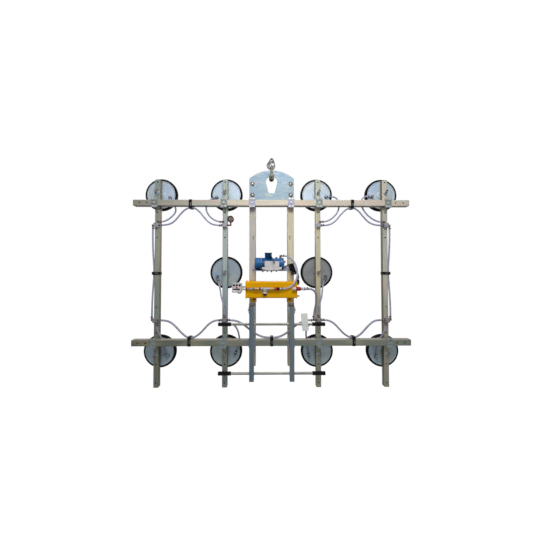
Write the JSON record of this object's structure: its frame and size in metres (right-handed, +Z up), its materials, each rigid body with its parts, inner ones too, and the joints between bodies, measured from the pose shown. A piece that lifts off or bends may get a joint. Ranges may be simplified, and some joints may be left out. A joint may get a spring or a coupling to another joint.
{
  "type": "glass panel lifter",
  "caption": "Hanging vacuum lifter for glass panels: cross-clamped tube frame with sprung suction pads, vacuum tank, pump, hoses, a fold-out handle frame and a safety hook.",
  "frame": {"origin": "centre of the safety hook's eye, where the lifter hangs", "axes": "+X along the beams to the operator's right, +Y from the operator towards the panel, +Z up"},
  "size_m": [2.444, 0.292, 2.061],
  "materials": {
    "yellow_zinc": "yellow chromated zinc, satin",
    "grey_zinc": "zinc plated, satin",
    "disc_zinc": "zinc plated, satin",
    "black_rubber": "matt",
    "tank_yellow": "semi gloss paint",
    "pump_blue": "semi gloss paint",
    "box_grey": "satin",
    "black_plastic": "satin",
    "brass": "machined, dull",
    "filter_white": "gloss",
    "sleeve_red": "gloss",
    "hose_clear": "cloudy, gloss",
    "hook_steel": "galvanised"
  },
  "bodies": {
    "hook": {"hook_body": "hook_steel"},
    "frame": {"top_beam": "yellow_zinc", "bottom_beam": "yellow_zinc", "centre_posts": "yellow_zinc", "outer_carriers": "yellow_zinc", "inner_carriers": "yellow_zinc", "clamp_plates": "grey_zinc", "frame_bolts": "grey_zinc", "lifting_plate": "grey_zinc", "support_brackets": "grey_zinc", "handle_brackets": "grey_zinc", "manifold_blocks": "grey_zinc", "pad_springs": "grey_zinc", "power_cable": "black_rubber", "vacuum_tank": "tank_yellow", "motor_housing": "pump_blue", "fan_cowl": "pump_blue", "pump_housing": "pump_blue", "terminal_box": "pump_blue", "pump_filter_box": "box_grey", "monitor_housing": "box_grey", "hose_straps": "black_plastic", "cable_plug": "black_plastic", "gauge_case": "black_plastic", "hose_fittings": "brass", "vacuum_line": "brass", "valve_body": "brass", "line_filter": "filter_white", "link_hoses": "hose_clear", "pad_hoses": "hose_clear"},
    "shackle": {"lifting_shackle": "hook_steel"},
    "latch": {"hook_latch": "hook_steel"},
    "handle": {"handle_frame": "yellow_zinc", "handle_grips": "black_rubber"},
    "sleeve": {"valve_sleeve": "sleeve_red"},
    "needle": {"gauge_needle": "black_plastic"},
    "fan": {"cooling_fan": "black_plastic"},
    "key_left": {"monitor_key_left": "black_plastic"},
    "key_middle": {"monitor_key_middle": "black_plastic"},
    "key_right": {"monitor_key_right": "black_plastic"},
    "pad_outer_left_top": {"pad_plate_outer_left_top": "disc_zinc", "pad_seal_outer_left_top": "black_rubber"},
    "pad_inner_left_top": {"pad_plate_inner_left_top": "disc_zinc", "pad_seal_inner_left_top": "black_rubber"},
    "pad_inner_right_top": {"pad_plate_inner_right_top": "disc_zinc", "pad_seal_inner_right_top": "black_rubber"},
    "pad_outer_right_top": {"pad_plate_outer_right_top": "disc_zinc", "pad_seal_outer_right_top": "black_rubber"},
    "pad_inner_left_mid": {"pad_plate_inner_left_mid": "disc_zinc", "pad_seal_inner_left_mid": "black_rubber"},
    "pad_inner_right_mid": {"pad_plate_inner_right_mid": "disc_zinc", "pad_seal_inner_right_mid": "black_rubber"},
    "pad_outer_left_low": {"pad_plate_outer_left_low": "disc_zinc", "pad_seal_outer_left_low": "black_rubber"},
    "pad_inner_left_low": {"pad_plate_inner_left_low": "disc_zinc", "pad_seal_inner_left_low": "black_rubber"},
    "pad_inner_right_low": {"pad_plate_inner_right_low": "disc_zinc", "pad_seal_inner_right_low": "black_rubber"},
    "pad_outer_right_low": {"pad_plate_outer_right_low": "disc_zinc", "pad_seal_outer_right_low": "black_rubber"}
  },
  "joints": [
    {"name": "hook_swing", "type": "hinge", "parent": "hook", "child": "shackle", "pos_m": [0, 0, -0.051], "axis": [0, 1, 0], "range_deg": [-30, 30]},
    {"name": "shackle_swing", "type": "hinge", "parent": "shackle", "child": "frame", "pos_m": [0, 0, -0.1563], "axis": [0, 1, 0], "range_deg": [-20, 20]},
    {"name": "latch_open", "type": "hinge", "parent": "hook", "child": "latch", "pos_m": [0.018, 0, -0.013], "axis": [0, 1, 0], "range_deg": [0, 25], "stiffness_Nm_per_rad": 0.2},
    {"name": "handle_swing", "type": "hinge", "parent": "frame", "child": "handle", "pos_m": [0, -0.082, -1.34], "axis": [-1, 0, 0], "range_deg": [0, 60]},
    {"name": "valve_slide", "type": "slide", "parent": "frame", "child": "sleeve", "axis": [1, 0, 0], "range_m": [0, 0.012]},
    {"name": "needle_turn", "type": "hinge", "parent": "frame", "child": "needle", "pos_m": [-0.3685, -0.02, -0.539], "axis": [0, 1, 0], "range_deg": [0, 270], "stiffness_Nm_per_rad": 0.002},
    {"name": "fan_spin", "type": "hinge", "parent": "frame", "child": "fan", "pos_m": [-0.12, -0.066, -0.942], "axis": [1, 0, 0], "continuous": true},
    {"name": "key_left_press", "type": "slide", "parent": "frame", "child": "key_left", "axis": [0, 1, 0], "range_m": [0, 0.0012], "stiffness_N_per_m": 400},
    {"name": "key_middle_press", "type": "slide", "parent": "frame", "child": "key_middle", "axis": [0, 1, 0], "range_m": [0, 0.0012], "stiffness_N_per_m": 400},
    {"name": "key_right_press", "type": "slide", "parent": "frame", "child": "key_right", "axis": [0, 1, 0], "range_m": [0, 0.0012], "stiffness_N_per_m": 400},
    {"name": "pad_outer_left_top_slide", "type": "slide", "parent": "frame", "child": "pad_outer_left_top", "axis": [0, 1, 0], "range_m": [-0.008, 0], "stiffness_N_per_m": 3000, "deforming": ["pad_springs"]},
    {"name": "pad_inner_left_top_slide", "type": "slide", "parent": "frame", "child": "pad_inner_left_top", "axis": [0, 1, 0], "range_m": [-0.008, 0], "stiffness_N_per_m": 3000, "deforming": ["pad_springs"]},
    {"name": "pad_inner_right_top_slide", "type": "slide", "parent": "frame", "child": "pad_inner_right_top", "axis": [0, 1, 0], "range_m": [-0.008, 0], "stiffness_N_per_m": 3000, "deforming": ["pad_springs"]},
    {"name": "pad_outer_right_top_slide", "type": "slide", "parent": "frame", "child": "pad_outer_right_top", "axis": [0, 1, 0], "range_m": [-0.008, 0], "stiffness_N_per_m": 3000, "deforming": ["pad_springs"]},
    {"name": "pad_inner_left_mid_slide", "type": "slide", "parent": "frame", "child": "pad_inner_left_mid", "axis": [0, 1, 0], "range_m": [-0.008, 0], "stiffness_N_per_m": 3000, "deforming": ["pad_springs"]},
    {"name": "pad_inner_right_mid_slide", "type": "slide", "parent": "frame", "child": "pad_inner_right_mid", "axis": [0, 1, 0], "range_m": [-0.008, 0], "stiffness_N_per_m": 3000, "deforming": ["pad_springs"]},
    {"name": "pad_outer_left_low_slide", "type": "slide", "parent": "frame", "child": "pad_outer_left_low", "axis": [0, 1, 0], "range_m": [-0.008, 0], "stiffness_N_per_m": 3000, "deforming": ["pad_springs"]},
    {"name": "pad_inner_left_low_slide", "type": "slide", "parent": "frame", "child": "pad_inner_left_low", "axis": [0, 1, 0], "range_m": [-0.008, 0], "stiffness_N_per_m": 3000, "deforming": ["pad_springs"]},
    {"name": "pad_inner_right_low_slide", "type": "slide", "parent": "frame", "child": "pad_inner_right_low", "axis": [0, 1, 0], "range_m": [-0.008, 0], "stiffness_N_per_m": 3000, "deforming": ["pad_springs"]},
    {"name": "pad_outer_right_low_slide", "type": "slide", "parent": "frame", "child": "pad_outer_right_low", "axis": [0, 1, 0], "range_m": [-0.008, 0], "stiffness_N_per_m": 3000, "deforming": ["pad_springs"]}
  ]
}
